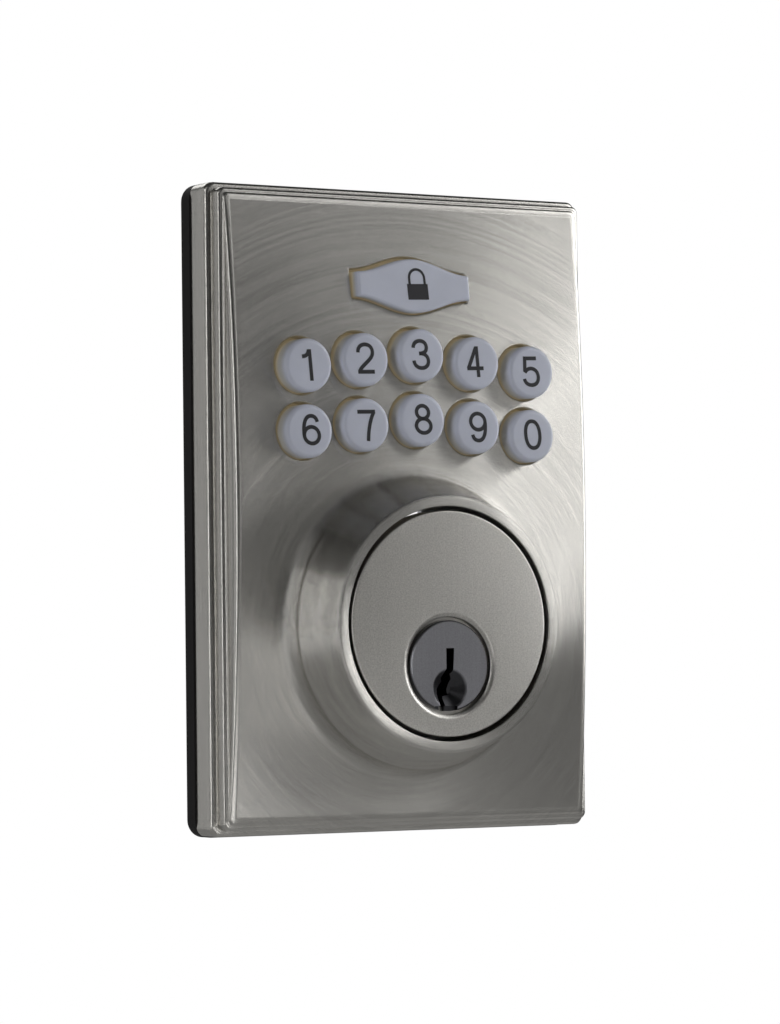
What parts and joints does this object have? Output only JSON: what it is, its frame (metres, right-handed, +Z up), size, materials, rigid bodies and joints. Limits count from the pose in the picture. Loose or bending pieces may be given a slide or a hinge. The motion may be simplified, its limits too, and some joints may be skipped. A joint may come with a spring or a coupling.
{
  "type": "keypad deadbolt outside unit",
  "caption": "Outside unit of an electronic deadbolt: stepped, crowned metal plate, push-button keypad, lock key and a keyed cylinder in a raised collar.",
  "frame": {"origin": "on the door's face, where the axis of the collar and of the door's cross bore meets it", "axes": "+Z up the plate, +Y into the door, so that the keypad faces -Y; +X to the right of someone facing the keypad"},
  "size_m": [0.0684, 0.0812, 0.1009],
  "materials": {
    "satin_nickel": "satin nickel plate with a fine vertical brush",
    "cylinder_nickel": "satin nickel plate, brushed across the face",
    "plug_nickel": "satin nickel plate, a little darker from wear",
    "gasket_rubber": "matte black",
    "zinc_plated_steel": "bright zinc plate",
    "screw_steel": "plain steel",
    "tailpiece_steel": "zinc plate",
    "spring_steel": "drawn wire",
    "brass": "turned brass",
    "key_plastic": "translucent white with a cool tint, smooth",
    "silicone": "translucent silicone",
    "circuit_board": "green solder resist",
    "chip_plastic": "black moulded",
    "led_amber": "clear amber lens",
    "socket_plastic": "natural nylon"
  },
  "bodies": {
    "lock_body": {"escutcheon": "satin_nickel", "gasket": "gasket_rubber", "back_plate": "zinc_plated_steel", "back_plate_screws": "zinc_plated_steel", "mounting_posts": "zinc_plated_steel", "keypad_mat": "silicone", "keypad_board": "circuit_board", "board_screws": "screw_steel", "backlight_leds": "led_amber", "controller_chip": "chip_plastic", "buzzer": "chip_plastic", "cable_socket": "socket_plastic", "cylinder_housing": "cylinder_nickel", "cylinder_screws": "screw_steel", "chamber_cover": "brass", "pin_spring_1": "spring_steel", "pin_spring_2": "spring_steel", "pin_spring_3": "spring_steel", "pin_spring_4": "spring_steel", "pin_spring_5": "spring_steel"},
    "plug": {"plug": "plug_nickel", "anti_drill_pins": "screw_steel", "plug_cap": "brass"},
    "tailpiece": {"tailpiece": "tailpiece_steel"},
    "key_1": {"key_1": "key_plastic"},
    "key_2": {"key_2": "key_plastic"},
    "key_3": {"key_3": "key_plastic"},
    "key_4": {"key_4": "key_plastic"},
    "key_5": {"key_5": "key_plastic"},
    "key_6": {"key_6": "key_plastic"},
    "key_7": {"key_7": "key_plastic"},
    "key_8": {"key_8": "key_plastic"},
    "key_9": {"key_9": "key_plastic"},
    "key_0": {"key_0": "key_plastic"},
    "lock_key": {"lock_key": "key_plastic"},
    "key_pin_1": {"key_pin_1": "brass"},
    "key_pin_2": {"key_pin_2": "brass"},
    "key_pin_3": {"key_pin_3": "brass"},
    "key_pin_4": {"key_pin_4": "brass"},
    "key_pin_5": {"key_pin_5": "brass"},
    "driver_pin_1": {"driver_pin_1": "brass"},
    "driver_pin_2": {"driver_pin_2": "brass"},
    "driver_pin_3": {"driver_pin_3": "brass"},
    "driver_pin_4": {"driver_pin_4": "brass"},
    "driver_pin_5": {"driver_pin_5": "brass"}
  },
  "joints": [
    {"name": "key_1_press", "type": "slide", "parent": "lock_body", "child": "key_1", "axis": [0, 1, 0], "range_m": [0, 0.001], "stiffness_N_per_m": 800, "springref_m": -0.0005, "deforming": ["keypad_mat"]},
    {"name": "key_2_press", "type": "slide", "parent": "lock_body", "child": "key_2", "axis": [0, 1, 0], "range_m": [0, 0.001], "stiffness_N_per_m": 800, "springref_m": -0.0005, "deforming": ["keypad_mat"]},
    {"name": "key_3_press", "type": "slide", "parent": "lock_body", "child": "key_3", "axis": [0, 1, 0], "range_m": [0, 0.001], "stiffness_N_per_m": 800, "springref_m": -0.0005, "deforming": ["keypad_mat"]},
    {"name": "key_4_press", "type": "slide", "parent": "lock_body", "child": "key_4", "axis": [0, 1, 0], "range_m": [0, 0.001], "stiffness_N_per_m": 800, "springref_m": -0.0005, "deforming": ["keypad_mat"]},
    {"name": "key_5_press", "type": "slide", "parent": "lock_body", "child": "key_5", "axis": [0, 1, 0], "range_m": [0, 0.001], "stiffness_N_per_m": 800, "springref_m": -0.0005, "deforming": ["keypad_mat"]},
    {"name": "key_6_press", "type": "slide", "parent": "lock_body", "child": "key_6", "axis": [0, 1, 0], "range_m": [0, 0.001], "stiffness_N_per_m": 800, "springref_m": -0.0005, "deforming": ["keypad_mat"]},
    {"name": "key_7_press", "type": "slide", "parent": "lock_body", "child": "key_7", "axis": [0, 1, 0], "range_m": [0, 0.001], "stiffness_N_per_m": 800, "springref_m": -0.0005, "deforming": ["keypad_mat"]},
    {"name": "key_8_press", "type": "slide", "parent": "lock_body", "child": "key_8", "axis": [0, 1, 0], "range_m": [0, 0.001], "stiffness_N_per_m": 800, "springref_m": -0.0005, "deforming": ["keypad_mat"]},
    {"name": "key_9_press", "type": "slide", "parent": "lock_body", "child": "key_9", "axis": [0, 1, 0], "range_m": [0, 0.001], "stiffness_N_per_m": 800, "springref_m": -0.0005, "deforming": ["keypad_mat"]},
    {"name": "key_0_press", "type": "slide", "parent": "lock_body", "child": "key_0", "axis": [0, 1, 0], "range_m": [0, 0.001], "stiffness_N_per_m": 800, "springref_m": -0.0005, "deforming": ["keypad_mat"]},
    {"name": "lock_key_press", "type": "slide", "parent": "lock_body", "child": "lock_key", "axis": [0, 1, 0], "range_m": [0, 0.001], "stiffness_N_per_m": 800, "springref_m": -0.0005, "deforming": ["keypad_mat"]},
    {"name": "plug_turn", "type": "hinge", "parent": "lock_body", "child": "plug", "pos_m": [0, 0, -0.00647], "axis": [0, 1, 0], "range_deg": [-90, 90]},
    {"name": "tailpiece_turn", "type": "hinge", "parent": "plug", "child": "tailpiece", "pos_m": [0, 0.0087, -0.00647], "axis": [0, 1, 0], "range_deg": [-45, 45]},
    {"name": "key_pin_1_lift", "type": "slide", "parent": "plug", "child": "key_pin_1", "axis": [0, 0, 1], "range_m": [-0.00248, 0]},
    {"name": "key_pin_2_lift", "type": "slide", "parent": "plug", "child": "key_pin_2", "axis": [0, 0, 1], "range_m": [-0.00128, 0]},
    {"name": "key_pin_3_lift", "type": "slide", "parent": "plug", "child": "key_pin_3", "axis": [0, 0, 1], "range_m": [-0.00208, 0]},
    {"name": "key_pin_4_lift", "type": "slide", "parent": "plug", "child": "key_pin_4", "axis": [0, 0, 1], "range_m": [-0.00068, 0]},
    {"name": "key_pin_5_lift", "type": "slide", "parent": "plug", "child": "key_pin_5", "axis": [0, 0, 1], "range_m": [-0.00168, 0]},
    {"name": "driver_pin_1_lift", "type": "slide", "parent": "lock_body", "child": "driver_pin_1", "axis": [0, 0, 1], "range_m": [0, 0.003], "stiffness_N_per_m": 150, "springref_m": -0.003, "deforming": ["pin_spring_1"]},
    {"name": "driver_pin_2_lift", "type": "slide", "parent": "lock_body", "child": "driver_pin_2", "axis": [0, 0, 1], "range_m": [0, 0.003], "stiffness_N_per_m": 150, "springref_m": -0.003, "deforming": ["pin_spring_2"]},
    {"name": "driver_pin_3_lift", "type": "slide", "parent": "lock_body", "child": "driver_pin_3", "axis": [0, 0, 1], "range_m": [0, 0.003], "stiffness_N_per_m": 150, "springref_m": -0.003, "deforming": ["pin_spring_3"]},
    {"name": "driver_pin_4_lift", "type": "slide", "parent": "lock_body", "child": "driver_pin_4", "axis": [0, 0, 1], "range_m": [0, 0.003], "stiffness_N_per_m": 150, "springref_m": -0.003, "deforming": ["pin_spring_4"]},
    {"name": "driver_pin_5_lift", "type": "slide", "parent": "lock_body", "child": "driver_pin_5", "axis": [0, 0, 1], "range_m": [0, 0.003], "stiffness_N_per_m": 150, "springref_m": -0.003, "deforming": ["pin_spring_5"]}
  ]
}
